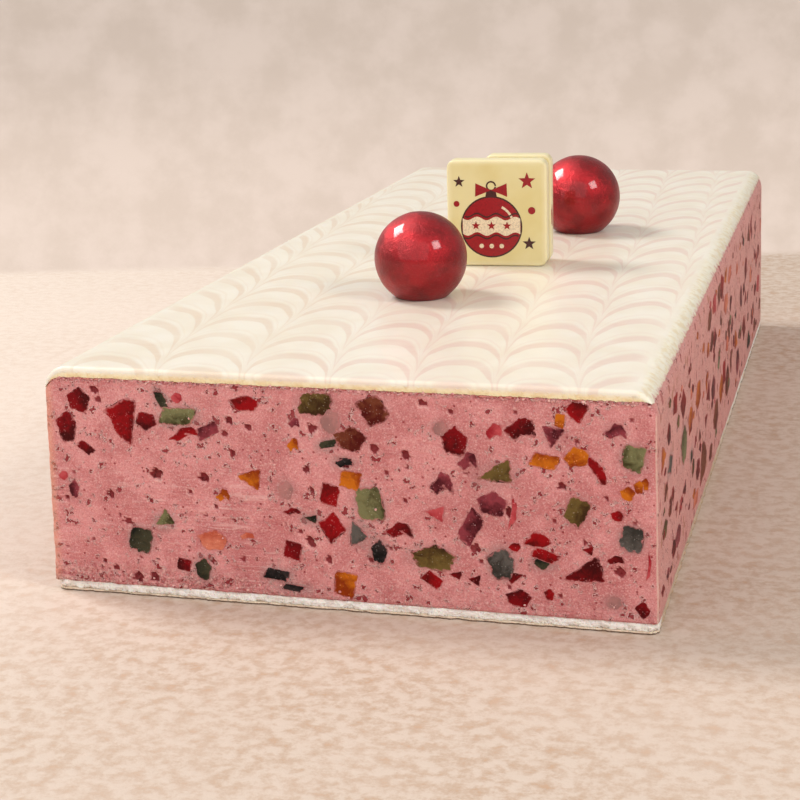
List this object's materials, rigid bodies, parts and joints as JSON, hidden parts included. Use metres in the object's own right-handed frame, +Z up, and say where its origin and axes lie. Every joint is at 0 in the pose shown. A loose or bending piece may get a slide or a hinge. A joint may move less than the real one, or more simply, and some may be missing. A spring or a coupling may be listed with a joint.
{
  "type": "nougat bar",
  "caption": "Long bar of pink nougat with diced candied fruit, on a wafer base, with a feathered white chocolate top, red pearls and cream plaques.",
  "frame": {"origin": "on the floor, under the middle of the bar", "axes": "+Z up, +Y along the bar from the cut end to the back end, +X across it; the cut end faces -Y"},
  "size_m": [0.1101, 0.2466, 0.0673],
  "materials": {
    "wafer": "matte porous wafer",
    "nougat": "matte crumbly pink nougat with diced candied fruit",
    "white_chocolate": "glossy white chocolate with a feathered pattern",
    "red_pearl": "deep red pearl lustre",
    "plaque_chocolate": "satin cream chocolate"
  },
  "bodies": {
    "root": {"wafer_lower": "wafer", "wafer_upper": "wafer", "nougat": "nougat", "chocolate_top": "white_chocolate", "pearl_front": "red_pearl", "pearl_back": "red_pearl", "plaque_front": "plaque_chocolate", "plaque_back": "plaque_chocolate"}
  },
  "joints": []
}
